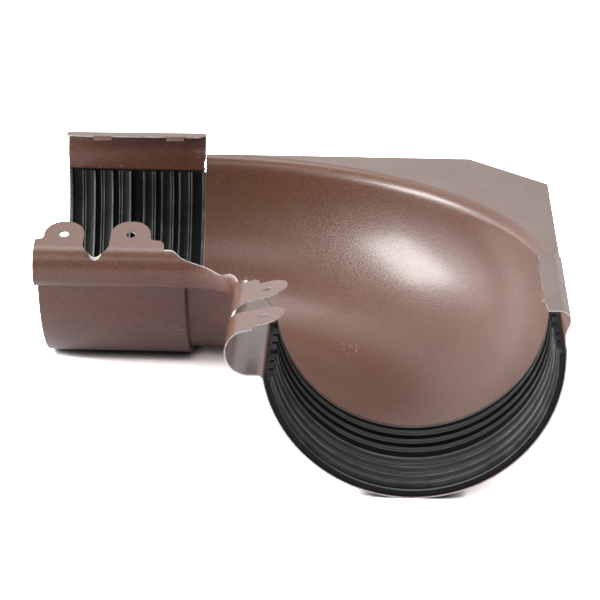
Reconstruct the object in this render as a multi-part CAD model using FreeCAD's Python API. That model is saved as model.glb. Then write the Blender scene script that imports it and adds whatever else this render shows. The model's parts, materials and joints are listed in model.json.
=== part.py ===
import FreeCAD, Part
import math
import os

# Internal gutter angle for a half-round rain gutter, pressed from one coated steel sheet,
# with a ribbed rubber seal in each of its two sockets.
# It is drawn about the axis of its quarter-turn bend, with z = 0 at the top of the flange.
# The left arm runs along -X and the front arm is its mirror image along -Y.
# Widths across an arm are counted from the gutter's axis, and grow towards the flange.
# All sizes are in millimetres.

Vec = FreeCAD.Vector
up = Vec(0, 0, 1)
origin = Vec(0, 0, 0)

# Sheet and gutter section
sheet = 0.6
gutter_radius = 63.0            # outside of the half-round wall in the elbow
axis_drop = 11.7                # gutter axis below the flange
bend_radius = 106.0             # bend axis to gutter axis

# Flange
flange_reach = 68.0             # gutter axis to the flange's straight edge
flange_chamfer = 38.4           # leg of the cut corner
flange_corner_radius = 1.5
flange_fillet = 6.0             # underside of the bend from wall to flange

# Sockets
socket_step = 3.0               # how far the socket stands out from the elbow
socket_length = 71.2            # open end to the bend
joggle_length = 1.4
joggle_top = 2.2                # where the joined wall ends, above the gutter axis

# Front bead
bead_radius = 10.6
bead_offset = 71.0              # gutter axis to bead axis, on the open side
bead_drop = 10.6                # bead axis below the flange
bead_root_radius = 2.0          # bend from the wall to the underside of the bead
bead_lip = 69.2                 # where the plain bead top is cut off

# Lock tabs on the bead
tab_slope = 16.5                # degrees
tab_half_width = 9.45
tab_centre = 65.4               # hole and round end, from the gutter axis
tab_end_distance = 13.4         # open end to the first tab's hole
tab_cover_distance = 16.2       # second tab's hole to the end of the full bead top
tab_root_radius = 2.2
tab_hole_diameter = 4.3
notch_depth_width = 79.7        # how far out the notch between the tabs is cut
cover_gap = 10.2                # end of the full bead top to the bend
lip_corner_radius = 2.0
lip_end_radius = 1.2

# Back clip
clip_rise = 12.7                # top of the strip above the flange
clip_curl_radius = 4.7
clip_bulge = 1.0                # beyond the socket wall
clip_waist = 0.8                # inside the socket wall
clip_waist_height = 0.0
clip_strip_reach = 55.9         # inner edge of the strip, from the gutter axis
clip_taper_length = 13.0
clip_taper_depth = 1.2
clip_end_chamfer = 2.6
clip_slit = 0.2                 # gap between clip and flange
clip_relief_height = 5.9        # rounded relief in the clip's edge beside the flange
clip_relief_depth = 1.0
clip_relief_z = -4.35
tongue_width = 9.2
tongue_length = 2.1
tongue_angle = 60.0             # degrees below the strip
tongue_end_distance = 18.6      # open end to the first tongue's middle
tongue_bend_distance = 15.5     # second tongue's middle to the bend

# Height of the trimmed bead edge: at the end of the cover, along the arm from there to the
# bend, and round the bend in degrees
edge_start = -1.0
edge_run_out = ((7.0, -0.7), (2.8, -2.8), (0.4, -4.2))
edge_corner = ((7.0, -5.5), (17.0, -6.2), (26.0, -6.7), (34.0, -7.3), (40.0, -7.8), (45.0, -7.9))
edge_tool_height = 30.0

# Seals
seal_clearance = 0.1
seal_base = 1.2
thin_rib_height = 3.0           # high edge of each lip, above the base
wide_rib_height = 2.1           # low edge of each lip
end_lip_height = 1.5
seal_inner_gap = 0.6            # end lip to the bend
seal_back_cut = 1.0             # the seal's outer corner is cut back to clear the step
seal_end_gap = 0.8              # open end of the socket to the seal
seal_top = 3.2                  # degrees above the gutter axis on the flange side
seal_front = 11.5               # degrees below the gutter axis on the bead side
inner_lip_gap = 6.8             # between the high edges of the two middle lips
lip_widths = (5.2, 5.4, 5.7)    # high edge of each lip to the middle of its low edge
lip_pitches = (9.2, 9.2)
wide_rib_top = 1.8
rib_back = 1.1                  # from the low edge of a lip down to the base
end_lip_top = 1.3
end_lip_slope = 0.8
middle_groove = 3.6             # flat floor between the two middle ribs

# Derived sizes
socket_radius = gutter_radius + socket_step
axis_z = -axis_drop
arm_end = -socket_length
flange_edge = bend_radius + flange_reach
body_bottom = axis_z - socket_radius
middle = (flange_edge + arm_end) / 2.0
seal_length = socket_length - seal_end_gap - seal_inner_gap
cover_length = socket_length - cover_gap
tab_positions = (tab_end_distance, cover_length - tab_cover_distance)
tongue_positions = (tongue_end_distance, socket_length - tongue_bend_distance)


def section_point(width, height):
    """Point of an arm's cross section, in the plane where the arm meets the elbow."""
    return Vec(0, bend_radius + width, height)


def line(first, last):
    return Part.LineSegment(section_point(*first), section_point(*last)).toShape()


def arc(centre, radius, start, end):
    """Arc of the cross section from one angle to another, in degrees."""
    def at(angle):
        turn = math.radians(angle)
        return section_point(centre[0] + radius * math.cos(turn), centre[1] + radius * math.sin(turn))
    return Part.Arc(at(start), at((start + end) / 2.0), at(end)).toShape()


def s_bend(first, last):
    """Two equal arcs that leave and arrive upright."""
    shift = last[0] - first[0]
    rise = last[1] - first[1]
    radius = (rise ** 2 + shift ** 2) / (4.0 * abs(shift))
    turn = math.degrees(math.asin(rise / (2.0 * radius)))
    if shift > 0:
        lower = arc((first[0] + radius, first[1]), radius, 180.0, 180.0 - turn)
        upper = arc((last[0] - radius, last[1]), radius, -turn, 0.0)
    else:
        lower = arc((first[0] - radius, first[1]), radius, 0.0, turn)
        upper = arc((last[0] + radius, last[1]), radius, 180.0 + turn, 180.0)
    return [lower, upper]


def trough_and_bead(radius, back_height):
    """Half-round wall from the flange side down, round and up into the bead."""
    underside = -bead_drop - bead_radius
    root_z = underside - bead_root_radius
    root_width = -math.sqrt((radius + bead_root_radius) ** 2 - (root_z - axis_z) ** 2)
    root_angle = math.degrees(math.atan2(root_z - axis_z, root_width))
    return [
        line((radius, back_height), (radius, axis_z)),
        arc((0, axis_z), radius, 0.0, root_angle),
        arc((root_width, root_z), bead_root_radius, root_angle + 180.0, 90.0),
        line((root_width, underside), (-bead_offset, underside)),
        arc((-bead_offset, -bead_drop), bead_radius, 270.0, 90.0 + tab_slope),
    ]


def tab_line():
    tip = -tab_centre + tab_half_width
    return [line(tab_start(), (tip, tab_height(tip)))]


def flange_wall():
    """Wall above the gutter axis in the elbow, and the bend into the flange."""
    bend_z = -sheet - flange_fillet
    bend_width = gutter_radius + flange_fillet
    far_edge = math.sqrt(2.0) * flange_edge
    return [
        line((far_edge, -sheet), (bend_width, -sheet)),
        arc((bend_width, bend_z), flange_fillet, 90.0, 180.0),
        line((gutter_radius, bend_z), (gutter_radius, axis_z + joggle_top)),
    ]


def clip_wall():
    """Back clip from the end of its strip, over the curl and down to the socket wall."""
    bulge_width = socket_radius + clip_bulge
    curl_width = bulge_width - clip_curl_radius
    curl_z = clip_rise - clip_curl_radius
    foot_z = axis_z + joggle_top
    waist = (socket_radius - clip_waist, clip_waist_height)
    foot = s_bend((socket_radius, foot_z), waist)
    bulge = s_bend(waist, (bulge_width, curl_z))
    return [
        line((clip_strip_reach, clip_rise), (curl_width, clip_rise)),
        arc((curl_width, curl_z), clip_curl_radius, 90.0, 0.0),
        bulge[1], bulge[0], foot[1], foot[0],
    ]


def strip_face(edges):
    """Sheet section: the outer face given by edges, and the sheet's thickness inside it."""
    wire = Part.Wire(Part.__sortEdges__(edges))
    return wire.makeOffset2D(sheet, 0, True, True, False)


def plan_prism(points, bottom, top):
    """Upright prism over an outline of (along, across) points."""
    corners = [Vec(along, across, bottom) for along, across in points]
    outline = Part.makePolygon(corners + corners[:1])
    return Part.Face(outline).extrude(Vec(0, 0, top - bottom))


def elbow():
    section = strip_face(flange_wall() + trough_and_bead(gutter_radius, axis_z + joggle_top))
    turned = section.revolve(origin, up, -90.0)
    return turned.common(flange_outline())


def flange_outline():
    """Everything inside the flange's edges, as an upright prism."""
    side = flange_edge
    cut = side - flange_chamfer
    prism = plan_prism([(0, 0), (side, 0), (side, cut), (cut, side), (0, side)],
                       body_bottom, clip_rise)
    corners = [edge for edge in prism.Edges if is_chamfer_corner(edge, cut, side)]
    return prism.makeFillet(flange_corner_radius, corners)


def is_chamfer_corner(edge, cut, side):
    box = edge.BoundBox
    upright = box.XLength < 0.01 and box.YLength < 0.01
    ends = sorted((box.XMin, box.YMin))
    return upright and abs(ends[0] - cut) < 0.01 and abs(ends[1] - side) < 0.01


def joggle():
    """Short step in which the sheet widens from the elbow to the socket."""
    small, large = [strip_face(trough_and_bead(radius, axis_z + joggle_top)).OuterWire.copy()
                    for radius in (gutter_radius, socket_radius)]
    large.translate(Vec(-joggle_length, 0, 0))
    return Part.makeLoft([small, large], True, True)


def socket():
    edges = clip_wall() + trough_and_bead(socket_radius, axis_z + joggle_top) + tab_line()
    tube = strip_face(edges).extrude(Vec(joggle_length - socket_length, 0, 0))
    tube.translate(Vec(-joggle_length, 0, 0))
    overhang = strip_face(clip_wall()).extrude(Vec(clip_slit - joggle_length, 0, 0))
    overhang.translate(Vec(-clip_slit, 0, 0))
    overhang = overhang.cut(clip_relief())
    trimmed = tube.cut([bead_trim()] + tab_holes())
    return trimmed.fuse([overhang] + clip_tongues()).cut(strip_trim())


def clip_relief():
    """Round tool that leaves a lens-shaped gap between the clip and the flange."""
    half = clip_relief_height / 2.0
    radius = (half ** 2 + clip_relief_depth ** 2) / (2.0 * clip_relief_depth)
    across = bend_radius + socket_radius - clip_waist - 2.0 * sheet
    start = Vec(radius - clip_relief_depth - clip_slit, across, clip_relief_z)
    return Part.makeCylinder(radius, clip_waist + 4.0 * sheet, start, Vec(0, 1, 0))


def bead_trim():
    """What is cut away round the tabs: a block over the bead less the outline that stays."""
    inner = bend_radius - tab_centre + 2.0 * tab_half_width
    outer = bend_radius - bead_offset - 2.0 * bead_radius
    low = -bead_radius
    high = clip_rise
    block = Part.makeBox(socket_length, inner - outer, high - low, Vec(arm_end, outer, low))
    lip = bend_radius - bead_lip
    keep = plan_prism([(arm_end, outer), (arm_end + cover_length, outer),
                       (arm_end + cover_length, lip), (arm_end, lip)], low, high)
    keep = round_upright(keep, arm_end, lip, lip_end_radius)
    keep = round_upright(keep, arm_end + cover_length, lip, lip_corner_radius)
    crest = bend_radius - bead_offset
    keep = keep.fuse(plan_prism([(arm_end + cover_length, outer), (0, outer), (0, crest),
                                 (arm_end + cover_length, crest)], low, high))
    for position in tab_positions:
        keep = keep.fuse(tab_outline(position, low, high))
    for side in (tab_positions[0] - tab_half_width, tab_positions[-1] + tab_half_width):
        keep = round_upright(keep, arm_end + side, lip, tab_root_radius)
    return block.cut(keep.cut(notch(low, high)))


def tab_start():
    """Width and height at which the tabs leave the bead, on its outer face."""
    turn = math.radians(tab_slope)
    return (-bead_offset - bead_radius * math.sin(turn), -bead_drop + bead_radius * math.cos(turn))


def tab_height(width):
    start = tab_start()
    return start[1] + (width - start[0]) * math.tan(math.radians(tab_slope))


def tab_holes():
    """Punches for the tabs' holes, square to the sloping sheet."""
    turn = math.radians(tab_slope)
    square = Vec(0, -math.sin(turn), math.cos(turn))
    length = 8.0 * sheet
    holes = []
    for position in tab_positions:
        middle_point = section_point(-tab_centre, tab_height(-tab_centre)) + Vec(arm_end + position, 0, 0)
        start = middle_point - square * (length / 2.0)
        holes.append(Part.makeCylinder(tab_hole_diameter / 2.0, length, start, square))
    return holes


def round_upright(prism, along, across, radius):
    for edge in prism.Edges:
        box = edge.BoundBox
        if max(abs(box.XMin - along), abs(box.XMax - along)) > 0.01:
            continue
        if max(abs(box.YMin - across), abs(box.YMax - across)) > 0.01:
            continue
        return prism.makeFillet(radius, [edge])
    return prism


def tab_outline(position, low, high):
    centre = arm_end + position
    across = bend_radius - tab_centre
    root = bend_radius - bead_offset
    body = plan_prism([(centre - tab_half_width, root), (centre + tab_half_width, root),
                       (centre + tab_half_width, across), (centre - tab_half_width, across)], low, high)
    end = Part.makeCylinder(tab_half_width, high - low, Vec(centre, across, low))
    return body.fuse(end)


def notch(low, high):
    """Round-bottomed notch between the two tabs."""
    left = arm_end + tab_positions[0] + tab_half_width
    right = arm_end + tab_positions[1] - tab_half_width
    radius = (right - left) / 2.0
    bottom = bend_radius - notch_depth_width + radius
    top = bend_radius - tab_centre
    body = plan_prism([(left, bottom), (right, bottom), (right, top), (left, top)], low, high)
    return body.fuse(Part.makeCylinder(radius, high - low, Vec((left + right) / 2.0, bottom, low)))


def clip_tongues():
    """Small tongues bent down from the strip's inner edge."""
    turn = math.radians(tongue_angle)
    reach = tongue_length * math.cos(turn)
    drop = tongue_length * math.sin(turn)
    edges = [line((clip_strip_reach - reach, clip_rise - drop), (clip_strip_reach, clip_rise)),
             line((clip_strip_reach, clip_rise), (clip_strip_reach + 2.0 * sheet, clip_rise))]
    tongues = []
    for position in tongue_positions:
        tongue = strip_face(edges).extrude(Vec(tongue_width, 0, 0))
        tongue.translate(Vec(arm_end + position - tongue_width / 2.0, 0, 0))
        tongues.append(tongue)
    return tongues


def strip_trim():
    """Taper at the open end of the strip and the small chamfer at its other end."""
    inner = bend_radius + clip_strip_reach
    low = clip_rise - clip_curl_radius
    high = clip_rise + sheet
    outside = inner - sheet
    taper = plan_prism([(arm_end, outside), (arm_end + clip_taper_length, outside),
                        (arm_end + clip_taper_length, inner), (arm_end, inner + clip_taper_depth)],
                       low, high)
    last = -clip_slit
    chamfer = plan_prism([(last - clip_end_chamfer, outside), (last, outside),
                          (last, inner + clip_end_chamfer), (last - clip_end_chamfer, inner)],
                         low, high)
    return taper.fuse(chamfer)


def edge_curve(radius):
    """The corner's trimmed edge, at a distance from the bend axis."""
    points = [Vec(cover_length - socket_length, radius, edge_start)]
    points += [Vec(-way, radius, height) for way, height in edge_run_out]
    for way, height in edge_corner:
        turn = math.radians(way)
        points.append(Vec(radius * math.sin(turn), radius * math.cos(turn), height))
    curve = Part.BSplineCurve()
    curve.interpolate(points)
    return curve.toShape()


def corner_edge_tool():
    """Everything above the wavy trimmed edge, from the left arm to the middle of the corner."""
    outer = edge_curve(bend_radius - bead_offset - 2.0 * bead_radius)
    inner = edge_curve(bend_radius - tab_centre)
    return Part.makeRuledSurface(outer, inner).extrude(Vec(0, 0, edge_tool_height))


def mirrored(shape):
    """The same shape on the front arm."""
    return shape.mirror(origin, Vec(1, -1, 0))


def corner_body():
    arm = socket().fuse(joggle())
    body = elbow().fuse([arm, mirrored(arm)])
    tool = corner_edge_tool()
    body = body.cut([tool, mirrored(tool)])
    return body.removeSplitter()


def lip_places():
    """Middle of the high and the low edge of each lip that there is room for, from the seal's middle."""
    places = []
    thin = inner_lip_gap / 2.0
    room = seal_length / 2.0 - end_lip_top - end_lip_slope - rib_back - wide_rib_top / 2.0
    for width, pitch in zip(lip_widths, lip_pitches + (0.0,)):
        if thin + width < room:
            places.append((thin, thin + width))
        thin += pitch
    return places


def lip_points(valley):
    """Half of the seal's inner outline, from its middle to its end lip, as (along, radius) points."""
    points = [(middle_groove / 2.0, valley)]
    for thin, wide in lip_places():
        outer_edge = wide + wide_rib_top / 2.0
        points += [(thin, valley - thin_rib_height), (wide - wide_rib_top / 2.0, valley - wide_rib_height),
                   (outer_edge, valley - wide_rib_height), (outer_edge + rib_back, valley)]
    lip_start = seal_length / 2.0 - end_lip_top
    points += [(lip_start - end_lip_slope, valley), (lip_start, valley - end_lip_height),
               (seal_length / 2.0, valley - end_lip_height)]
    return points


def seal_profile():
    """Section of the seal along the arm, with its lips sloping up towards the middle."""
    outside = socket_radius - sheet - seal_clearance
    half = lip_points(outside - seal_base)
    other = [(-along, radius) for along, radius in reversed(half)]
    ends = [(seal_length / 2.0 - seal_back_cut, outside), (-seal_length / 2.0, outside)]
    middle_along = arm_end + seal_end_gap + seal_length / 2.0
    points = [Vec(middle_along + along, bend_radius + radius, axis_z) for along, radius in other + half + ends]
    return Part.Face(Part.makePolygon(points + points[:1]))


def seal():
    section = seal_profile()
    axis_point = Vec(0, bend_radius, axis_z)
    section.rotate(axis_point, Vec(1, 0, 0), seal_top)
    return section.revolve(axis_point, Vec(1, 0, 0), seal_front - seal_top - 180.0)


def write(name, shape):
    shape.translate(Vec(-middle, -middle, -body_bottom))
    shape.exportStep(os.path.join("parts", name + ".step"))
    box = shape.BoundBox
    print(name, shape.isValid(), len(shape.Solids), round(shape.Volume, 1),
          [round(value, 2) for value in (box.XMin, box.YMin, box.ZMin, box.XMax, box.YMax, box.ZMax)])


def main():
    os.makedirs("parts", exist_ok=True)
    left_seal = seal()
    write("corner_body", corner_body())
    write("seal_left", left_seal.copy())
    write("seal_front", mirrored(left_seal))


main()
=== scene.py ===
import json
import math
import bmesh
import bpy
from mathutils import Matrix, Quaternion, Vector

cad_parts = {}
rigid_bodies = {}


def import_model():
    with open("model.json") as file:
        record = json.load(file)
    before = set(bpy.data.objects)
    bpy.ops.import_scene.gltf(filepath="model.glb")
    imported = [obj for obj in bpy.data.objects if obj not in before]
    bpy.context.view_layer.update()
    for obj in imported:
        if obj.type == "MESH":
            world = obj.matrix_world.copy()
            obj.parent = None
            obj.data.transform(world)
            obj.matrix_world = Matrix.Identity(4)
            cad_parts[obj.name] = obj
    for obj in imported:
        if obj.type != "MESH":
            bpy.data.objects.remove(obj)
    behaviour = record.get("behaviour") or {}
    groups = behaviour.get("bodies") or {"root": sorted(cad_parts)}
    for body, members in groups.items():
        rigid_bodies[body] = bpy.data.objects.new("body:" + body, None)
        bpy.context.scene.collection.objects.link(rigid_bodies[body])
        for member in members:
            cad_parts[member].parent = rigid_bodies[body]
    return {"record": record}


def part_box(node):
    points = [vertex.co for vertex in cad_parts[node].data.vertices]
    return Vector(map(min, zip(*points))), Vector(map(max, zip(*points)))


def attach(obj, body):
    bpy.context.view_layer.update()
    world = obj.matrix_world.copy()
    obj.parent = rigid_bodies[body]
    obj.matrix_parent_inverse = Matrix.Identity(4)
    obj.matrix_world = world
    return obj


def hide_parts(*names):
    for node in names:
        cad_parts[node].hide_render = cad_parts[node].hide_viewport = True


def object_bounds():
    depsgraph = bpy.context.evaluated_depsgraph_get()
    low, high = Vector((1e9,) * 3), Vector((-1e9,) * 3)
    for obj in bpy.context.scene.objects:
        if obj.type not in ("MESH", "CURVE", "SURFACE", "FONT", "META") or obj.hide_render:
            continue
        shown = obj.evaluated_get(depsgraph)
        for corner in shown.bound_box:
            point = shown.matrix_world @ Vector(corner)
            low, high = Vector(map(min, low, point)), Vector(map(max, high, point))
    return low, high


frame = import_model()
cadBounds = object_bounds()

mm = 0.001
mounts = {mount["name"]: mount for mount in frame["record"]["mounts"]}
leftMouth = Vector(mounts["socket_left"]["pos_m"])
frontMouth = Vector(mounts["socket_front"]["pos_m"])
flangeTop = mounts["flange_top"]["pos_m"][2]
armCrossing = Vector((frontMouth.x, leftMouth.y, flangeTop))  # of the two gutter axes, at the flange's height

# The sheet and the seals are drawn in millimetres about the axis of the bend, with z = 0 at the
# top of the flange and the left arm along -X, and are put in their place at the end.

bend = {
    "radius": 106.0,  # bend axis to gutter axis
    "steps": 96,
}
bendAxis = armCrossing - Vector((bend["radius"], bend["radius"], 0.0)) * mm
axisHeight = (leftMouth.z - flangeTop) / mm
socketRadius = mounts["socket_left"]["dims"]["r_mm"]
armEnd = (leftMouth.x - bendAxis.x) / mm
flangeEdge = (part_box("corner_body")[1].y - bendAxis.y) / mm


def startChain(bm, along, width, height):
    # first vertex of a section across an arm
    return bm.verts.new((along, bend["radius"] + width, height))


def lineTo(bm, vert, width, height, parts=1):
    first = vert.co.copy()
    goal = Vector((first.x, bend["radius"] + width, height))
    for part in range(1, parts + 1):
        vert = bmesh.ops.extrude_vert_indiv(bm, verts=[vert])["verts"][0]
        vert.co = first.lerp(goal, part / parts)
    return vert


def arcTo(bm, vert, width, height, degrees, steps):
    centre = (vert.co.x, bend["radius"] + width, height)
    made = bmesh.ops.spin(bm, geom=[vert], cent=centre, axis=(1, 0, 0), angle=math.radians(degrees),
                          steps=steps, use_duplicate=False)
    return [item for item in made["geom_last"] if isinstance(item, bmesh.types.BMVert)][0]


def sBendTo(bm, vert, width, height, steps):
    # two equal arcs that leave and arrive upright
    shift = bend["radius"] + width - vert.co.y
    rise = height - vert.co.z
    radius = (rise ** 2 + shift ** 2) / (4.0 * abs(shift))
    turn = math.degrees(math.asin(rise / (2.0 * radius)))
    side = math.copysign(1.0, shift)
    vert = arcTo(bm, vert, vert.co.y - bend["radius"] + side * radius, vert.co.z, -side * turn, steps)
    return arcTo(bm, vert, width - side * radius, height, side * turn, steps)


def chainEdges(bm, build):
    before = set(bm.edges)
    build()
    return [edge for edge in bm.edges if edge not in before]


def onlyVerts(geom):
    return [item for item in geom if isinstance(item, bmesh.types.BMVert)]


def onlyEdges(geom):
    return [item for item in geom if isinstance(item, bmesh.types.BMEdge)]


def slideEdges(bm, edges, distance):
    made = bmesh.ops.extrude_edge_only(bm, edges=edges)["geom"]
    bmesh.ops.translate(bm, verts=onlyVerts(made), vec=(distance, 0.0, 0.0))
    return onlyEdges(made)


def mirrorArm(bm):
    # swaps the two arms
    swap = Matrix(((0, 1, 0, 0), (1, 0, 0, 0), (0, 0, 1, 0), (0, 0, 0, 1)))
    bmesh.ops.transform(bm, matrix=swap, verts=bm.verts[:])


def joinInto(bm, part):
    mesh = bpy.data.meshes.new("arm")
    part.to_mesh(mesh)
    part.free()
    bm.from_mesh(mesh)
    bpy.data.meshes.remove(mesh)


def placeMesh(bm):
    bmesh.ops.scale(bm, vec=(mm, mm, mm), verts=bm.verts[:])
    bmesh.ops.translate(bm, vec=bendAxis, verts=bm.verts[:])


def makeObject(name, bm, materials):
    mesh = bpy.data.meshes.new(name)
    bm.to_mesh(mesh)
    bm.free()
    for material in materials:
        mesh.materials.append(material)
    piece = bpy.data.objects.new(name, mesh)
    bpy.context.scene.collection.objects.link(piece)
    return piece


def applyModifiers(piece):
    graph = bpy.context.evaluated_depsgraph_get()
    mesh = bpy.data.meshes.new_from_object(piece.evaluated_get(graph))
    piece.modifiers.clear()
    piece.data = mesh


def smoothByAngle(piece, degrees):
    piece.data.shade_smooth()
    piece.data.set_sharp_from_angle(angle=math.radians(degrees))


def smoothStep(share):
    share = min(max(share, 0.0), 1.0)
    return share * share * (3.0 - 2.0 * share)


sheet = {
    "thickness": 0.6,
    "elbowRadius": 63.0,
    "troughSteps": 96,
    "flangeFillet": 6.0,
    "flangeChamfer": 38.4,
    "cornerRound": 0.62,
    "joggleLength": 1.5,  # main part of the step from elbow to socket
    "joggleTail": 5.0,  # and its slow run-out into the socket
    "tailShare": 0.05,
    "joggleTop": 3.4,  # above the gutter axis
    "joggleRows": (0.0, 0.25, 0.5, 0.75, 1.0, 1.25, 1.5, 2.2, 3.2, 4.2, 5.0),  # from the elbow's end
    "socketSteps": 18,
}
bead = {
    "radius": 10.6,
    "width": -71.0,  # bead axis, from the gutter axis
    "height": -10.6,
    "rootRadius": 2.0,
    "steps": 44,
}
tabs = {
    "slope": 16.5,
    "halfWidth": 9.45,
    "centre": -65.4,
    "places": (13.4, 44.8),  # from the open end
    "lean": {"left": (0.8, 2.5), "front": (-2.6, -0.2)},  # degrees added by hand bending
    "rootRound": 2.2,
    "endRound": 1.2,
    "coverRound": 3.6,
    "lip": -69.2,
    "holeRadius": 2.15,
    "notchWidth": -78.7,
    "coverLength": 61.0,
    "notchShave": 36.0,  # degrees, the bright sliver at the bottom of the notch
    "shaveRadius": 5.4,
    "shaveDepth": 0.75,
    "cutInside": -50.0,  # how far in the cut between and beside the tabs reaches
    "cutTop": 25.0,
}


def troughChain(bm, vert, radius):
    # from the back wall down, round and up into the bead
    underside = bead["height"] - bead["radius"]
    rootHeight = underside - bead["rootRadius"]
    rootWidth = -math.sqrt((radius + bead["rootRadius"]) ** 2 - (rootHeight - axisHeight) ** 2)
    rootAngle = math.degrees(math.atan2(rootHeight - axisHeight, rootWidth))
    vert = lineTo(bm, vert, radius, axisHeight)
    vert = arcTo(bm, vert, 0.0, axisHeight, rootAngle, sheet["troughSteps"])
    vert = arcTo(bm, vert, rootWidth, rootHeight, -90.0 - rootAngle, 5)
    vert = lineTo(bm, vert, bead["width"], underside, 4)
    return arcTo(bm, vert, bead["width"], bead["height"], tabs["slope"] - 180.0, bead["steps"])


def tabRoot():
    # width and height at which the tabs leave the bead
    slope = math.radians(tabs["slope"])
    width = bead["width"] - bead["radius"] * math.sin(slope)
    return (width, bead["height"] + bead["radius"] * math.cos(slope))


def tabHeight(width):
    start = tabRoot()
    return start[1] + (width - start[0]) * math.tan(math.radians(tabs["slope"]))


def addElbow(bm):
    wallTop = axisHeight + sheet["joggleTop"]
    radius = sheet["elbowRadius"]
    fillet = sheet["flangeFillet"]
    underside = -sheet["thickness"]

    def section():
        troughChain(bm, startChain(bm, 0.0, radius, wallTop), radius)
        vert = lineTo(bm, startChain(bm, 0.0, radius, wallTop), radius, underside - fillet)
        vert = arcTo(bm, vert, radius + fillet, underside - fillet, -90.0, 12)
        lineTo(bm, vert, math.sqrt(2.0) * flangeEdge, underside)

    edges = chainEdges(bm, section)
    bmesh.ops.spin(bm, geom=edges, cent=(0, 0, 0), axis=(0, 0, 1), angle=math.radians(-90.0),
                   steps=bend["steps"], use_duplicate=False)
    trimFlange(bm)


def trimFlange(bm):
    cut = flangeEdge - sheet["flangeChamfer"]
    for place, normal in (((flangeEdge, 0, 0), (1, 0, 0)), ((0, flangeEdge, 0), (0, 1, 0)),
                          ((flangeEdge, cut, 0), (1, 1, 0))):
        bmesh.ops.bisect_plane(bm, geom=bm.verts[:] + bm.edges[:] + bm.faces[:], dist=0.0001,
                               plane_co=place, plane_no=normal, clear_outer=True)
    corners = [vert for vert in bm.verts if min((vert.co.xy - Vector((flangeEdge, cut))).length,
                                                (vert.co.xy - Vector((cut, flangeEdge))).length) < 0.01]
    bmesh.ops.bevel(bm, geom=corners, offset=sheet["cornerRound"], affect="VERTICES", segments=4,
                    profile=0.5, material=-1)


clip = {
    "rise": 12.7,
    "openRise": 12.2,  # the strip comes down a little towards the open end
    "curlRadius": 4.7,
    "bulge": 1.0,
    "waist": 0.8,
    "reach": 55.9,
    "slit": 0.1,
    "reliefHeight": 6.8,
    "reliefDepth": 0.95,
    "reliefPlace": -5.3,
    "taperLength": 13.0,
    "taperDepth": 1.2,
    "endChamfer": 2.6,
    "tongueWidth": 9.2,
    "tongueLength": 2.1,
    "tongueAngle": 60.0,
    "tonguePlaces": (18.6, 55.7),  # from the open end
    "firstRows": (0.7, 1.2, 2.0, 3.0, 4.0),  # rows of faces beside the slit, from the elbow's end
}


def joggleStations():
    # rows of the step from elbow to socket, as (along, radius)
    rows = []
    for along in sheet["joggleRows"]:
        rise = ((1.0 - sheet["tailShare"]) * smoothStep(along / sheet["joggleLength"])
                + sheet["tailShare"] * smoothStep(along / sheet["joggleTail"]))
        rows.append((-along, sheet["elbowRadius"] + (socketRadius - sheet["elbowRadius"]) * rise))
    return rows


def addArm(bm):
    wallTop = axisHeight + sheet["joggleTop"]
    chains = []
    for along, radius in joggleStations():
        start = startChain(bm, along, radius, wallTop)
        chains.append(chainEdges(bm, lambda: troughChain(bm, start, radius)))
    for first, second in zip(chains, chains[1:]):
        bmesh.ops.bridge_loops(bm, edges=first + second)
    last = -sheet["joggleTail"]
    tabEdges = chainEdges(bm, lambda: tabChain(bm, last))
    edges = chainEdges(bm, lambda: clipChain(bm, -clip["slit"]))
    here = -clip["slit"]
    for along in clip["firstRows"] + (sheet["joggleTail"],):
        edges = slideEdges(bm, edges, -along - here)
        here = -along
    edges += chains[-1] + tabEdges
    for place in socketStations():
        edges = slideEdges(bm, edges, place - here)
        here = place


def clipChain(bm, along):
    vert = startChain(bm, along, socketRadius, axisHeight + sheet["joggleTop"])
    vert = sBendTo(bm, vert, socketRadius - clip["waist"], 0.0, 7)
    outer = socketRadius + clip["bulge"]
    vert = sBendTo(bm, vert, outer, clip["rise"] - clip["curlRadius"], 8)
    vert = arcTo(bm, vert, outer - clip["curlRadius"], clip["rise"] - clip["curlRadius"], 90.0, 12)
    lineTo(bm, vert, clip["reach"], clip["rise"], 3)


def tabChain(bm, along):
    tip = tabs["centre"] + tabs["halfWidth"]
    vert = startChain(bm, along, *tabRoot())
    lineTo(bm, vert, tip, tabHeight(tip), 10)


def socketStations():
    # where the socket's rows of faces lie, with a row edge at each end of each tongue
    first = -sheet["joggleTail"]
    marks = [armEnd]
    for place in clip["tonguePlaces"]:
        marks += [armEnd + place - clip["tongueWidth"] / 2.0, armEnd + place + clip["tongueWidth"] / 2.0]
    marks = sorted(marks + [first], reverse=True)
    longest = (first - armEnd) / sheet["socketSteps"]
    places = []
    for high, low in zip(marks, marks[1:]):
        count = math.ceil((high - low) / longest)
        places += [high + (low - high) * (number + 1) / count for number in range(count)]
    return places


def addTongues(bm):
    turn = math.radians(clip["tongueAngle"])
    drop = Vector((0.0, -math.cos(turn), -math.sin(turn))) * clip["tongueLength"]
    for place in clip["tonguePlaces"]:
        middle = armEnd + place
        rim = [edge for edge in bm.edges if edge.is_boundary
               and all(abs(vert.co.y - bend["radius"] - clip["reach"]) < 0.01
                       and abs(vert.co.z - clip["rise"]) < 0.01
                       and abs(vert.co.x - middle) < clip["tongueWidth"] / 2.0 + 0.01 for vert in edge.verts)]
        made = bmesh.ops.extrude_edge_only(bm, edges=rim)["geom"]
        bmesh.ops.translate(bm, verts=onlyVerts(made), vec=drop)


def lowerClip(bm):
    # the strip stands a little lower at the open end than beside the flange
    for vert in bm.verts:
        if vert.co.z > 0.0 and vert.co.y > bend["radius"] + 50.0:
            share = vert.co.x / armEnd
            vert.co.z *= 1.0 - share * (1.0 - clip["openRise"] / clip["rise"])


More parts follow.
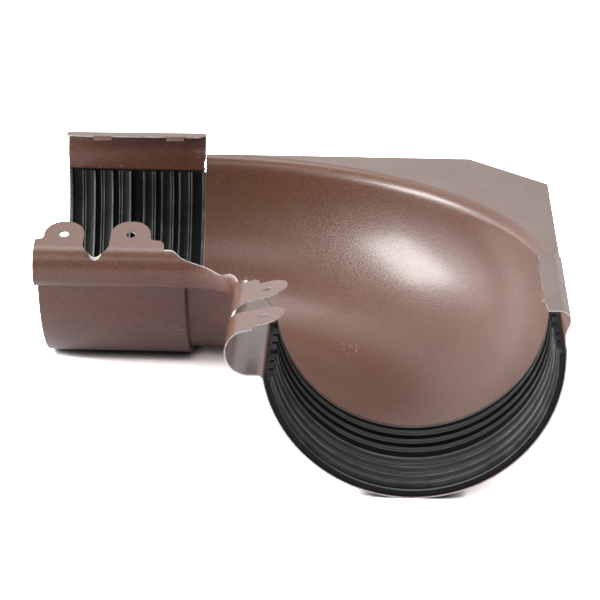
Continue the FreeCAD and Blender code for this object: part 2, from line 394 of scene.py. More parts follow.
def leanTabs(bm, leans):
    # each tab was bent by hand, so no two stand at the same angle
    width, height = tabRoot()
    root = Vector((0.0, bend["radius"] + width, height))
    split = armEnd + sum(tabs["places"]) / 2.0
    for number, degrees in enumerate(leans):
        verts = [vert for vert in bm.verts if vert.co.z > root.z + 0.05 and vert.co.y < bend["radius"] - 50.0
                 and vert.co.y > root.y and (vert.co.x > split) == bool(number)]
        bmesh.ops.rotate(bm, verts=verts, cent=root, matrix=Matrix.Rotation(math.radians(degrees), 3, "X"))


def planCutter(name, outline, low, high, material, swapped):
    # upright block over an outline of (along, width) points
    bm = bmesh.new()
    verts = [bm.verts.new((along, bend["radius"] + width, low)) for along, width in outline]
    face = bm.faces.new(verts)
    made = bmesh.ops.extrude_face_region(bm, geom=[face])["geom"]
    bmesh.ops.translate(bm, verts=onlyVerts(made), vec=(0, 0, high - low))
    return finishCutter(name, bm, material, swapped)


def finishCutter(name, bm, material, swapped):
    if swapped:
        mirrorArm(bm)
    bmesh.ops.recalc_face_normals(bm, faces=bm.faces[:])
    placeMesh(bm)
    return makeObject(name, bm, [material])


def roundCorner(corner, radius, toBefore, toAfter, steps=8):
    # quarter arc inside a square corner, from the side before it to the side after it
    before = Vector(toBefore)
    after = Vector(toAfter)
    centre = Vector(corner) + radius * (before + after)
    angles = [math.pi / 2.0 * step / steps for step in range(steps + 1)]
    return [tuple(centre - radius * (after * math.cos(angle) + before * math.sin(angle))) for angle in angles]


def arcPoints(along, width, radius, start, end, steps=24):
    angles = [math.radians(start + (end - start) * step / steps) for step in range(steps + 1)]
    return [(along + radius * math.cos(angle), width + radius * math.sin(angle)) for angle in angles]


def tabOutline():
    # what is cut away inside the lock tabs, with the tabs left standing
    end = armEnd
    half = tabs["halfWidth"]
    lip = tabs["lip"]
    cover = end + tabs["coverLength"]
    first, second = (end + place for place in tabs["places"])
    left, right, inward, outward = (-1.0, 0.0), (1.0, 0.0), (0.0, 1.0), (0.0, -1.0)
    beyond = end - 4.0
    past = 2.0
    points = [(beyond, tabs["cutInside"]), (beyond, bead["width"]), (end, bead["width"])]
    points += roundCorner((end, lip), tabs["endRound"], outward, right)
    points += roundCorner((first - half, lip), tabs["rootRound"], left, inward)
    points += arcPoints(first, tabs["centre"], half, 180.0, 0.0)
    gap = (second - half) - (first + half)
    points += arcPoints(first + half + gap / 2.0, tabs["notchWidth"] + gap / 2.0, gap / 2.0, 180.0, 360.0)
    points += arcPoints(second, tabs["centre"], half, 180.0, 0.0)
    points += roundCorner((second + half, lip), tabs["rootRound"], inward, right)
    points += roundCorner((cover, lip), tabs["coverRound"], left, outward)
    points += [(cover, bead["width"]), (past, bead["width"]), (past, tabs["cutInside"])]
    return points


def notchCutter(name, material, swapped):
    # leaning round punch that shaves the bottom of the notch, so that its bare metal shows
    turn = math.radians(tabs["notchShave"])
    middle = armEnd + sum(tabs["places"]) / 2.0
    offset = tabs["notchWidth"] - bead["width"]
    height = bead["height"] + math.sqrt(bead["radius"] ** 2 - offset ** 2)
    lift = tabs["shaveRadius"] - tabs["shaveDepth"]
    bm = bmesh.new()
    bmesh.ops.create_cone(bm, cap_ends=True, segments=64, radius1=tabs["shaveRadius"],
                          radius2=tabs["shaveRadius"], depth=9.0)
    bmesh.ops.rotate(bm, verts=bm.verts[:], cent=(0, 0, 0),
                     matrix=Matrix.Rotation(math.pi / 2.0 + turn, 3, "X"))
    bmesh.ops.translate(bm, verts=bm.verts[:],
                        vec=(middle, bend["radius"] + tabs["notchWidth"] - lift * math.sin(turn),
                             height + lift * math.cos(turn)))
    return finishCutter(name, bm, material, swapped)


def holeCutter(name, place, lean, material, swapped):
    bm = bmesh.new()
    bmesh.ops.create_cone(bm, cap_ends=True, segments=40, radius1=tabs["holeRadius"],
                          radius2=tabs["holeRadius"], depth=8.0)
    tilt = Matrix.Rotation(math.radians(tabs["slope"] + lean), 4, "X")
    root = Vector((0.0, *tabRoot()))
    middle = Vector((0.0, tabs["centre"], tabHeight(tabs["centre"])))
    centre = root + Matrix.Rotation(math.radians(lean), 3, "X") @ (middle - root)
    move = Matrix.Translation((armEnd + place, bend["radius"] + centre.y, centre.z))
    bmesh.ops.transform(bm, matrix=move @ tilt, verts=bm.verts[:])
    return finishCutter(name, bm, material, swapped)


def clipOutlines():
    reach = clip["reach"]
    outside = reach - 2.0
    taper = [(armEnd - 2.0, outside), (armEnd + clip["taperLength"], outside),
             (armEnd + clip["taperLength"], reach), (armEnd, reach + clip["taperDepth"]),
             (armEnd - 2.0, reach + clip["taperDepth"] * 1.2)]
    last = -clip["slit"]
    chamfer = [(last - clip["endChamfer"], outside), (last + 2.0, outside),
               (last + 2.0, reach + clip["endChamfer"] + 2.0), (last, reach + clip["endChamfer"]),
               (last - clip["endChamfer"], reach)]
    return [taper, chamfer]


def reliefCutter(name, material, swapped):
    # lens-shaped gap between the clip's edge and the flange
    half = clip["reliefHeight"] / 2.0
    radius = (half ** 2 + clip["reliefDepth"] ** 2) / (2.0 * clip["reliefDepth"])
    swing = math.degrees(math.asin(half / radius))
    centre = radius - clip["reliefDepth"] - clip["slit"]
    arc = arcPoints(centre, clip["reliefPlace"], radius, 180.0 - swing, 180.0 + swing, 12)
    start = bend["radius"] + socketRadius - 4.0
    bm = bmesh.new()
    outline = arc + [(-clip["slit"] / 4.0, arc[-1][1]), (-clip["slit"] / 4.0, arc[0][1])]
    face = bm.faces.new([bm.verts.new((along, start, height)) for along, height in outline])
    made = bmesh.ops.extrude_face_region(bm, geom=[face])["geom"]
    bmesh.ops.translate(bm, verts=onlyVerts(made), vec=(0, 8.0, 0))
    return finishCutter(name, bm, material, swapped)


wave = {
    # height of the trimmed edge: mm before the bend on each arm, then degrees round the bend
    "arm": ((10.2, -1.3), (8.0, -1.35), (5.6, -1.6), (3.7, -2.6), (1.7, -3.9), (0.0, -4.5)),
    "bend": ((0.0, -4.5), (1.5, -4.85), (8.0, -5.6), (14.5, -6.2), (21.5, -6.7), (29.0, -7.35), (36.0, -8.1),
             (42.0, -8.4), (47.0, -8.05), (51.5, -7.15), (56.0, -6.35), (62.0, -6.0), (69.0, -5.8),
             (77.0, -5.65), (85.0, -5.55), (88.5, -4.9), (90.0, -4.5)),
    "armSteps": 20,
    "bendSteps": 150,
    "burr": 0.035,
    "innerWidth": -66.0,  # inner side of what is cut away, from the gutter axis
    "top": 30.0,
}


def edgeAt(steps, place):
    # smooth curve through the heights in the dictionary
    for number in range(len(steps) - 1):
        (first, low), (second, high) = steps[number], steps[number + 1]
        if min(first, second) <= place <= max(first, second):
            before = steps[max(number - 1, 0)]
            after = steps[min(number + 2, len(steps) - 1)]
            span = second - first
            startSlope = (high - before[1]) / (second - before[0])
            endSlope = (after[1] - low) / (after[0] - first)
            share = (place - first) / span
            square, cube = share ** 2, share ** 3
            return (low * (2 * cube - 3 * square + 1) + high * (3 * square - 2 * cube)
                    + startSlope * span * (cube - 2 * square + share) + endSlope * span * (cube - square))
    return steps[-1][1]


def burrHeight(place):
    return wave["burr"] * (math.sin(place * 1.9) + 0.6 * math.sin(place * 4.7 + 1.0)) / 1.6


def edgeHeight(point):
    if point.x < 0.0:
        return edgeAt(wave["arm"], -point.x) + burrHeight(-point.x)
    if point.y < 0.0:
        return edgeAt(wave["arm"], -point.y) + burrHeight(-point.y)
    turn = math.degrees(math.atan2(point.x, point.y))
    return edgeAt(wave["bend"], turn) + burrHeight(turn * 0.6)


def waveCutter(material):
    # everything above the wavy edge that was trimmed by hand round the inside corner
    bm = bmesh.new()
    length = wave["arm"][0][0]
    outer = startChain(bm, -length, bead["width"] - 2.0 * bead["radius"], 0.0)
    inner = startChain(bm, -length, wave["innerWidth"], 0.0)
    edges = [bm.edges.new((outer, inner))]
    for step in range(wave["armSteps"]):
        edges = slideEdges(bm, edges, length / wave["armSteps"])
    spun = bmesh.ops.spin(bm, geom=edges, cent=(0, 0, 0), axis=(0, 0, 1), angle=math.radians(-90.0),
                          steps=wave["bendSteps"], use_duplicate=False)["geom_last"]
    edges = onlyEdges(spun)
    for step in range(wave["armSteps"]):
        extruded = bmesh.ops.extrude_edge_only(bm, edges=edges)["geom"]
        edges = onlyEdges(extruded)
        bmesh.ops.translate(bm, verts=onlyVerts(extruded), vec=(0.0, -length / wave["armSteps"], 0.0))
    bmesh.ops.remove_doubles(bm, verts=bm.verts[:], dist=0.0001)
    for vert in bm.verts:
        vert.co.z = edgeHeight(vert.co)
    top = bmesh.ops.extrude_face_region(bm, geom=bm.faces[:])["geom"]
    for vert in onlyVerts(top):
        vert.co.z = wave["top"]
    return finishCutter("edgeCutter", bm, material, False)


def drawSheet():
    body = bmesh.new()
    addElbow(body)
    for side in ("left", "front"):
        arm = bmesh.new()
        addArm(arm)
        bmesh.ops.remove_doubles(arm, verts=arm.verts[:], dist=0.002)
        addTongues(arm)
        lowerClip(arm)
        leanTabs(arm, tabs["lean"][side])
        if side == "front":
            mirrorArm(arm)
        joinInto(body, arm)
    bmesh.ops.remove_doubles(body, verts=body.verts[:], dist=0.004)
    bmesh.ops.recalc_face_normals(body, faces=body.faces[:])
    lowest = min(body.faces, key=lambda face: face.calc_center_median().z)
    if lowest.normal.z > 0.0:
        bmesh.ops.reverse_faces(body, faces=body.faces[:])
    placeMesh(body)
    return body


def sheetCutters(shearedEdge, trimmedEdge):
    cutters = [waveCutter(trimmedEdge)]
    for side in ("left", "front"):
        swapped = side == "front"
        cutters.append(planCutter(side + "TabCutter", tabOutline(), bead["height"], tabs["cutTop"],
                                  shearedEdge, swapped))
        cutters.append(notchCutter(side + "NotchCutter", trimmedEdge, swapped))
        for place, lean in zip(tabs["places"], tabs["lean"][side]):
            cutters.append(holeCutter(side + "HoleCutter", place, lean, shearedEdge, swapped))
        for outline in clipOutlines():
            cutters.append(planCutter(side + "ClipCutter", outline, clip["rise"] - clip["curlRadius"],
                                      clip["rise"] + 4.0, shearedEdge, swapped))
        cutters.append(reliefCutter(side + "ReliefCutter", shearedEdge, swapped))
    return cutters


def sheetBody(coating, shearedEdge, trimmedEdge):
    piece = makeObject("corner_sheet", drawSheet(), [coating, shearedEdge])
    wall = piece.modifiers.new("wall", "SOLIDIFY")
    wall.thickness = sheet["thickness"] * mm
    wall.offset = -1.0
    wall.use_even_offset = True
    wall.material_offset_rim = 1
    cutters = sheetCutters(shearedEdge, trimmedEdge)
    for cutter in cutters:
        cut = piece.modifiers.new(cutter.name, "BOOLEAN")
        cut.operation = "DIFFERENCE"
        cut.solver = "EXACT"
        cut.material_mode = "TRANSFER"
        cut.object = cutter
    applyModifiers(piece)
    for cutter in cutters:
        bpy.data.objects.remove(cutter)
    smoothByAngle(piece, 30.0)
    return piece


seals = {
    "clearance": 0.1,
    "base": 1.15,
    "thinRise": 3.05,  # high edge of each lip
    "wideRise": 2.15,  # low edge of each lip
    "endRise": 1.55,
    "openGap": 0.8,
    "bendGap": 0.6,
    "backCut": 1.0,
    "top": 3.2,  # degrees above the gutter axis on the flange side
    "front": 11.5,  # degrees below it on the bead side
    "thinPlaces": (3.4, 12.6, 21.8),  # from the middle of the seal
    "widePlaces": (8.6, 18.0, 27.5),
    "thinTop": 0.34,
    "wideTop": 1.8,
    "lipTop": 0.5,  # each of the two ridges on a wide edge
    "furrow": 0.5,  # between them
    "fin": (0.75, 0.62),  # how far the high edge stands out of the slope behind it, and by how much
    "hollow": (0.75, 0.24),  # the same before the low edge
    "back": 0.35,
    "endTop": 1.3,
    "firstFoot": 1.5,  # flat before the first lip, and the one before the end lip
    "endFoot": 0.6,
    "round": 0.16,
    "steps": 130,
}
paintedShadeAndHighlight = {
    # painted light of each face of a seal, from painted shade at 0 in the grooves and on the cut ends to
    # painted highlight at 1 on the lips' edges
    "edge": 1.0,
    "fin": 0.85,
    "flat": 0.75,
    "slope": 0.5,
    "furrow": 0.45,
    "groove": 0.0,
}


def sealLength():
    return -armEnd - seals["openGap"] - seals["bendGap"]


def lipOutline(valley):
    # half of the seal's inner outline as (along, radius) points, and the corners that are rounded
    high = valley - seals["thinRise"]
    low = valley - seals["wideRise"]
    points = [(seals["thinPlaces"][0] - seals["firstFoot"], valley)]
    rounded = []
    for thin, wide in zip(seals["thinPlaces"], seals["widePlaces"]):
        top = wide + seals["wideTop"] / 2.0
        foot = wide - seals["wideTop"] / 2.0
        ridge = [(thin - seals["thinTop"] / 2.0, high), (thin + seals["thinTop"] / 2.0, high)]
        lips = [(foot, low), (foot + seals["lipTop"], low), (wide, low + seals["furrow"]),
                (top - seals["lipTop"], low), (top, low)]
        points += [(thin - seals["thinTop"], valley)] if thin != seals["thinPlaces"][0] else []
        slope = [(thin + seals["fin"][0], high + seals["fin"][1]),
                 (foot - seals["hollow"][0], low + seals["hollow"][1])]
        points += ridge + slope + lips + [(top + seals["back"], valley)]
        rounded += ridge + [lips[0], lips[1], lips[3], lips[4]]
    end = sealLength() / 2.0
    lip = [(end - seals["endTop"], valley - seals["endRise"]), (end, valley - seals["endRise"])]
    points += [(end - seals["endTop"] - seals["endFoot"], valley)] + lip
    return points, rounded + lip


# picks each face's painted shade or painted highlight from where it sits among the lips
def paintedLightOfFace(face, middle, valley):
    centre = face.calc_center_median()
    along = abs(centre.x - middle)
    radius = math.hypot(centre.y - bend["radius"], centre.z - axisHeight)
    height = valley - radius
    lastWide = seals["widePlaces"][-1]
    cutEnd = len(face.verts) > 4
    if along > lastWide + 1.6 and abs(height) < 0.1:
        return paintedShadeAndHighlight["slope"]
    if lastWide + seals["wideTop"] / 2.0 < along < lastWide + 1.6 and not cutEnd:
        return paintedShadeAndHighlight["flat"]
    # the cut ends and the grooves get painted shade
    if cutEnd or height < 0.25 or abs(face.normal.x) > 0.97:
        return paintedShadeAndHighlight["groove"]
    if along > sealLength() / 2.0 - seals["endTop"] - 0.2:
        return paintedShadeAndHighlight["fin"]
    for thin, wide in zip(seals["thinPlaces"], seals["widePlaces"]):
        if abs(along - wide) < 0.36:
            return paintedShadeAndHighlight["furrow"]
        if abs(along - wide) < seals["wideTop"] / 2.0 + 0.05 and height > seals["wideRise"] - 0.4:
            return paintedShadeAndHighlight["edge"]
        if abs(along - thin) < 0.45 and height > seals["thinRise"] - 0.4:
            return paintedShadeAndHighlight["edge"]
        if thin < along < thin + seals["fin"][0]:
            return paintedShadeAndHighlight["fin"]
        if thin < along < wide:
            return paintedShadeAndHighlight["slope"]
    return paintedShadeAndHighlight["groove"]


def makeSeal(name, rubber, swapped):
    outside = socketRadius - sheet["thickness"] - seals["clearance"]
    half, rounded = lipOutline(outside - seals["base"])
    end = sealLength() / 2.0
    corners = {(side * along, radius) for along, radius in rounded for side in (1, -1)}
    outline = [(-along, radius) for along, radius in reversed(half)] + half
    outline += [(end - seals["backCut"], outside), (-end, outside)]
    middle = armEnd + seals["openGap"] + end
    bm = bmesh.new()
    verts = [bm.verts.new((middle + along, bend["radius"] + radius, axisHeight)) for along, radius in outline]
    bm.faces.new(verts)
    soft = [vert for vert, point in zip(verts, outline) if point in corners]
    bmesh.ops.bevel(bm, geom=soft, offset=seals["round"], affect="VERTICES", segments=2,
                    profile=0.5, material=-1, clamp_overlap=True)
    axisPoint = (0.0, bend["radius"], axisHeight)
    bmesh.ops.rotate(bm, verts=bm.verts[:], cent=axisPoint,
                     matrix=Matrix.Rotation(math.radians(seals["top"]), 3, "X"))
    bmesh.ops.spin(bm, geom=bm.verts[:] + bm.edges[:] + bm.faces[:], cent=axisPoint, axis=(1, 0, 0),
                   angle=math.radians(seals["front"] - seals["top"] - 180.0), steps=seals["steps"],
                   use_duplicate=False)
    bmesh.ops.recalc_face_normals(bm, faces=bm.faces[:])
    # painted shade and highlight per face, read by the rubber's colour
    tone = bm.faces.layers.float.new("tone")
    for face in bm.faces:
        face[tone] = paintedLightOfFace(face, middle, outside - seals["base"])
    if swapped:
        mirrorArm(bm)
        bmesh.ops.recalc_face_normals(bm, faces=bm.faces[:])
    placeMesh(bm)
    piece = makeObject(name, bm, [rubber])
    smoothByAngle(piece, 42.0)
    return piece


def addNode(tree, kind, inputs=None, **settings):
    # new shader node; an input is given a value or linked to a socket
    made = tree.nodes.new("ShaderNode" + kind)
    for name, value in settings.items():
        setattr(made, name, value)
    for name, value in (inputs or {}).items():
        if isinstance(value, bpy.types.NodeSocket):
            tree.links.new(value, made.inputs[name])
        else:
            made.inputs[name].default_value = value
    return made


def mathOf(tree, operation, first, second=0.0):
    return addNode(tree, "Math", {0: first, 1: second}, operation=operation).outputs[0]


def rangeOf(tree, value, low, high, lowResult=0.0, highResult=1.0):
    made = addNode(tree, "MapRange", {"Value": value, "From Min": low, "From Max": high, "To Min": lowResult,
                                      "To Max": highResult}, interpolation_type="SMOOTHSTEP")
    return made.outputs["Result"]


def mixColours(tree, share, first, second):
    made = addNode(tree, "Mix", {"Factor": share, "A": first, "B": second}, data_type="RGBA")
    return made.outputs["Result"]


def noiseOf(tree, place, scale, detail=2.0, roughness=0.5, distortion=0.0):
    return addNode(tree, "TexNoise", {"Vector": place, "Scale": scale, "Detail": detail,
                                      "Roughness": roughness, "Distortion": distortion}).outputs["Fac"]


def newGroup(name, inputs, outputs):
    tree = bpy.data.node_groups.new(name, "ShaderNodeTree")
    for label, kind, value in inputs:
        socket = tree.interface.new_socket(name=label, in_out="INPUT", socket_type="NodeSocket" + kind)
        socket.default_value = value
    for label in outputs:
        tree.interface.new_socket(name=label, in_out="OUTPUT", socket_type="NodeSocketFloat")
    return tree, tree.nodes.new("NodeGroupInput").outputs, tree.nodes.new("NodeGroupOutput").inputs


def useGroup(tree, group, inputs):
    return addNode(tree, "Group", inputs, node_tree=group).outputs


def grainGroup():
    # the coating's fine texture, its slow clouding and the faint waves that pressing leaves
    tree, given, result = newGroup("coat grain",
                                   [("Place", "Vector", (0, 0, 0)), ("Grain Size", "Float", 0.0009),
                                    ("Cloud Size", "Float", 0.05)],
                                   ["Fine", "Cloud", "Wave", "Hue"])
    fineScale = mathOf(tree, "DIVIDE", 1.0, given["Grain Size"])
    cloudScale = mathOf(tree, "DIVIDE", 1.0, given["Cloud Size"])
    waveScale = mathOf(tree, "MULTIPLY", cloudScale, 1.7)
    hueScale = mathOf(tree, "MULTIPLY", cloudScale, 0.8)
    tree.links.new(noiseOf(tree, given["Place"], fineScale, 3.0, 0.65), result["Fine"])
    tree.links.new(noiseOf(tree, given["Place"], cloudScale, 4.0, 0.6, 0.4), result["Cloud"])
    tree.links.new(noiseOf(tree, given["Place"], waveScale, 1.0, 0.4), result["Wave"])
    tree.links.new(noiseOf(tree, given["Place"], hueScale, 3.0, 0.6, 1.2), result["Hue"])
    return tree


def scuffGroup():
    # short rub marks and scratches round one place
    tree, given, result = newGroup("scuff marks",
                                   [("Place", "Vector", (0, 0, 0)), ("Centre", "Vector", (0, 0, 0)),
                                    ("Reach", "Float", 0.012), ("Run", "Vector", (1, 1, 1))],
                                   ["Marks"])
    away = addNode(tree, "VectorMath", {0: given["Place"], 1: given["Centre"]},
                   operation="DISTANCE").outputs["Value"]
    near = rangeOf(tree, mathOf(tree, "DIVIDE", away, given["Reach"]), 1.0, 0.25)
    stretched = addNode(tree, "VectorMath", {0: given["Place"], 1: given["Run"]},
                        operation="MULTIPLY").outputs[0]
    streaks = rangeOf(tree, noiseOf(tree, stretched, 900.0, 3.0, 0.7, 0.6), 0.52, 0.62)
    patches = rangeOf(tree, noiseOf(tree, given["Place"], 230.0, 3.0, 0.6), 0.44, 0.56)
    marks = mathOf(tree, "MULTIPLY", near, mathOf(tree, "MULTIPLY", streaks, patches))
    tree.links.new(marks, result["Marks"])
    return tree


def dustGroup():
    # a few small specks
    tree, given, result = newGroup("dust specks",
                                   [("Place", "Vector", (0, 0, 0)), ("Spacing", "Float", 0.004),
                                    ("Amount", "Float", 0.3)],
                                   ["Specks"])
    cells = addNode(tree, "TexVoronoi", {"Vector": given["Place"],
                                         "Scale": mathOf(tree, "DIVIDE", 1.0, given["Spacing"])}).outputs
    picked = addNode(tree, "SeparateColor", {"Color": cells["Color"]}).outputs
    size = mathOf(tree, "MULTIPLY", picked["Green"], 0.085)
    spot = mathOf(tree, "LESS_THAN", cells["Distance"], size)
    kept = mathOf(tree, "LESS_THAN", picked["Red"], given["Amount"])
    tree.links.new(mathOf(tree, "MULTIPLY", spot, kept), result["Specks"])
    return tree


def newMaterial(name, **values):
    material = bpy.data.materials.new(name)
    material.use_nodes = True
    shader = material.node_tree.nodes["Principled BSDF"]
    for socket, value in values.items():
        shader.inputs[socket.replace("_", " ")].default_value = value
    place = addNode(material.node_tree, "TexCoord").outputs["Object"]
    return material, material.node_tree, shader, place


def giveShader(tree, shader, links):
    for name, socket in links.items():
        tree.links.new(socket, shader.inputs[name])


def fitPlace(point):
    # a point given in mm from where the two gutter axes cross
    return armCrossing + Vector(point) * mm


coat = {
    "deep": (0.105, 0.034, 0.020, 1.0),
    "light": (0.132, 0.045, 0.026, 1.0),
    "olive": (0.119, 0.052, 0.029, 1.0),
    "speck": (0.225, 0.098, 0.056, 1.0),
    "worn": (0.36, 0.27, 0.23, 1.0),
    "wornShare": 0.6,
    "wornCorners": (0.56, 0.66),  # how sharp a corner is before it wears
    "dust": (0.42, 0.37, 0.33, 1.0),
    "dustShare": 0.55,
    "dustSpacing": 0.006,
    "dustAmount": 0.16,
    "roughness": (0.27, 0.36),
    "gloss": 0.68,
    "glossRoughness": 0.23,
    "film": (0.46, 0.43, 0.415, 1.0),  # a thin film of dust on the level flange, whose pale colour is also a painted reflection on the up-facing flange
    "filmShare": (0.28, 0.36),
    "filmFacing": (0.972, 0.997),  # how level a face is where the dust and painted reflection start and are full
    "filmHeight": (0.070, 0.074),  # and how high, in metres
    "filmGloss": 0.25,  # the share of the gloss that is left under the dust and painted reflection
    "filmDulling": 0.34,
    "grainSize": 0.00085,
    "cloudSize": 0.055,
    "grainBump": 0.00021,
    "waveBump": 0.00035,
    "scuffs": [
        # centre, reach in metres, and how the marks run
        {"centre": (-111.3, -53.4, -50.5), "reach": 0.008, "run": (0.5, 1.0, 1.0)},
        {"centre": (-30.6, -17.1, -73.2), "reach": 0.012, "run": (1.0, 0.3, 1.0)},
        {"centre": (-107.6, 65.5, 1.0), "reach": 0.005, "run": (1.0, 1.0, 1.0)},
    ],
}


def coatedSheet(grain, scuff, dust):
    material, tree, shader, place = newMaterial("chocolate coating", IOR=1.5,
                                                Coat_Roughness=coat["glossRoughness"])
    texture = useGroup(tree, grain, {"Place": place, "Grain Size": coat["grainSize"],
                                     "Cloud Size": coat["cloudSize"]})
    colour = mixColours(tree, rangeOf(tree, texture["Cloud"], 0.32, 0.68), coat["deep"], coat["light"])
    colour = mixColours(tree, rangeOf(tree, texture["Hue"], 0.4, 0.66), colour, coat["olive"])
    colour = mixColours(tree, rangeOf(tree, texture["Fine"], 0.35, 0.75, 0.0, 0.6), colour, coat["speck"])
    marks = 0.0
    for spot in coat["scuffs"]:
        found = useGroup(tree, scuff, {"Place": place, "Centre": fitPlace(spot["centre"]),
                                       "Reach": spot["reach"], "Run": spot["run"]})["Marks"]
        marks = mathOf(tree, "MAXIMUM", found, marks)
    convex = addNode(tree, "NewGeometry").outputs["Pointiness"]
    worn = mathOf(tree, "MULTIPLY", rangeOf(tree, convex, *coat["wornCorners"]),
                  rangeOf(tree, texture["Fine"], 0.45, 0.6))
    marks = mathOf(tree, "MAXIMUM", marks, mathOf(tree, "MULTIPLY", worn, 0.5))
    # a thin film of dust dulls the level flange, and its pale colour paints a reflection onto the up-facing
    # flange
    facing = addNode(tree, "SeparateXYZ", {0: addNode(tree, "TexCoord").outputs["Normal"]}).outputs["Z"]
    height = addNode(tree, "SeparateXYZ", {0: place}).outputs["Z"]
    level = mathOf(tree, "MULTIPLY", rangeOf(tree, facing, *coat["filmFacing"]),
                   rangeOf(tree, height, *coat["filmHeight"]))
    film = mathOf(tree, "MULTIPLY", level, rangeOf(tree, texture["Cloud"], 0.3, 0.7, *coat["filmShare"]))
    colour = mixColours(tree, film, colour, coat["film"])
    specks = useGroup(tree, dust, {"Place": place, "Spacing": coat["dustSpacing"],
                                   "Amount": coat["dustAmount"]})["Specks"]
    colour = mixColours(tree, mathOf(tree, "MULTIPLY", marks, coat["wornShare"]), colour, coat["worn"])
    colour = mixColours(tree, mathOf(tree, "MULTIPLY", specks, coat["dustShare"]), colour, coat["dust"])
    roughness = rangeOf(tree, texture["Cloud"], 0.25, 0.75, *coat["roughness"])
    roughness = mathOf(tree, "ADD", roughness, mathOf(tree, "MULTIPLY", marks, 0.2))
    roughness = mathOf(tree, "ADD", roughness, mathOf(tree, "MULTIPLY", level, coat["filmDulling"]))
    gloss = mathOf(tree, "MULTIPLY", mathOf(tree, "SUBTRACT", 1.0, marks), coat["gloss"])
    gloss = mathOf(tree, "MULTIPLY", gloss, rangeOf(tree, level, 0.0, 1.0, 1.0, coat["filmGloss"]))
    wavy = addNode(tree, "Bump", {"Height": texture["Wave"], "Distance": coat["waveBump"], "Strength": 0.6})
    fine = addNode(tree, "Bump", {"Height": texture["Fine"], "Distance": coat["grainBump"], "Strength": 1.0,
                                  "Normal": wavy.outputs[0]})
    giveShader(tree, shader, {"Base Color": colour, "Roughness": roughness, "Coat Weight": gloss,
                              "Normal": fine.outputs[0]})
    return material


metal = {
    "bright": (0.90, 0.89, 0.87, 1.0),
    "dull": (0.80, 0.76, 0.74, 1.0),
    "fleck": (0.20, 0.105, 0.07, 1.0),
    "brightRoughness": 0.28,
    "dullRoughness": 0.46,
    "brightFlecks": 0.15,  # how much brown from the coating is smeared over the edge
    "dullFlecks": 0.5,
    "shine": 0.4,  # how much of the cut edge is mirror-like metal, the rest being its grey oxide
}


def bareMetal(name, colour, roughness, flecked):
    # zinc-coated steel where the sheet was cut
    material, tree, shader, place = newMaterial(name)
    streaks = noiseOf(tree, place, 1400.0, 3.0, 0.7)
    tone = tuple(0.72 * part for part in colour[:3]) + (1.0,)
    shade = mixColours(tree, rangeOf(tree, streaks, 0.35, 0.7), tone, colour)
    fleck = rangeOf(tree, noiseOf(tree, place, 420.0, 4.0, 0.7), 0.5, 0.62, 0.0, flecked)
    shade = mixColours(tree, fleck, shade, metal["fleck"])
    giveShader(tree, shader, {
        "Base Color": shade,
        "Metallic": mathOf(tree, "MULTIPLY", metal["shine"], mathOf(tree, "SUBTRACT", 1.0, fleck)),
        "Roughness": rangeOf(tree, streaks, 0.3, 0.75, roughness * 0.8, roughness * 1.3),
        "Normal": addNode(tree, "Bump", {"Height": streaks, "Distance": 0.00003, "Strength": 0.4}).outputs[0],
    })
    return material


rubberLook = {
    # painted shade in the grooves, the rubber's black on the slopes and a painted highlight on the lips'
    # edges
    "groove": (0.006, 0.006, 0.007, 1.0),
    # each seal's slopes get their own painted shade, set to the light on that seal
    "slope": {"left": (0.009, 0.0093, 0.0095, 1.0), "front": (0.0080, 0.0084, 0.0086, 1.0)},
    "shine": {"left": 0.25, "front": 0.32},
    # painted highlight along the lips' edges
    "edge": (0.120, 0.124, 0.121, 1.0),
    "dust": (0.16, 0.16, 0.155, 1.0),
    "dustShare": 0.8,
    "dustSpacing": 0.003,
    "dustAmount": 0.28,
    "clouding": (0.55, 1.25),  # how much darker and lighter the rubber gets from place to place
    "roughness": (0.60, 0.40),  # of the slopes and of the edges
    "streak": {"left": (1.0, 0.06, 0.06), "front": (0.06, 1.0, 0.06)},  # lines drawn along the lips
}


def sealRubber(side, dust):
    material, tree, shader, place = newMaterial("seal rubber " + side, IOR=1.5,
                                                Specular_IOR_Level=rubberLook["shine"][side])
    stretched = addNode(tree, "VectorMath", {0: place, 1: rubberLook["streak"][side]},
                        operation="MULTIPLY").outputs[0]
    drawn = noiseOf(tree, stretched, 1500.0, 3.0, 0.6)
    bloom = noiseOf(tree, place, 70.0, 4.0, 0.6, 0.3)
    grain = noiseOf(tree, place, 2200.0, 2.0, 0.6)
    specks = useGroup(tree, dust, {"Place": place, "Spacing": rubberLook["dustSpacing"],
                                   "Amount": rubberLook["dustAmount"]})["Specks"]
    # the tone mixes painted shade in the grooves with painted highlights on the lips' edges
    tone = addNode(tree, "Attribute", attribute_name="tone").outputs["Fac"]
    colour = mixColours(tree, rangeOf(tree, tone, 0.0, 0.5), rubberLook["groove"], rubberLook["slope"][side])
    colour = mixColours(tree, rangeOf(tree, tone, 0.5, 1.0), colour, rubberLook["edge"])
    cloud = mathOf(tree, "MULTIPLY", rangeOf(tree, bloom, 0.3, 0.7, *rubberLook["clouding"]),
                   rangeOf(tree, drawn, 0.3, 0.7, 0.8, 1.2))
    colour = addNode(tree, "VectorMath", {0: colour, 1: cloud}, operation="MULTIPLY").outputs[0]
    colour = mixColours(tree, mathOf(tree, "MULTIPLY", specks, rubberLook["dustShare"]), colour,
                        rubberLook["dust"])
    relief = mathOf(tree, "ADD", mathOf(tree, "MULTIPLY", drawn, 0.7), mathOf(tree, "MULTIPLY", grain, 0.3))
    giveShader(tree, shader, {
        "Base Color": colour,
        "Roughness": mathOf(tree, "MULTIPLY", rangeOf(tree, tone, 0.5, 1.0, *rubberLook["roughness"]),
                            rangeOf(tree, bloom, 0.3, 0.7, 0.88, 1.12)),
        "Normal": addNode(tree, "Bump", {"Height": relief, "Distance": 0.00008, "Strength": 0.5}).outputs[0],
    })
    return material


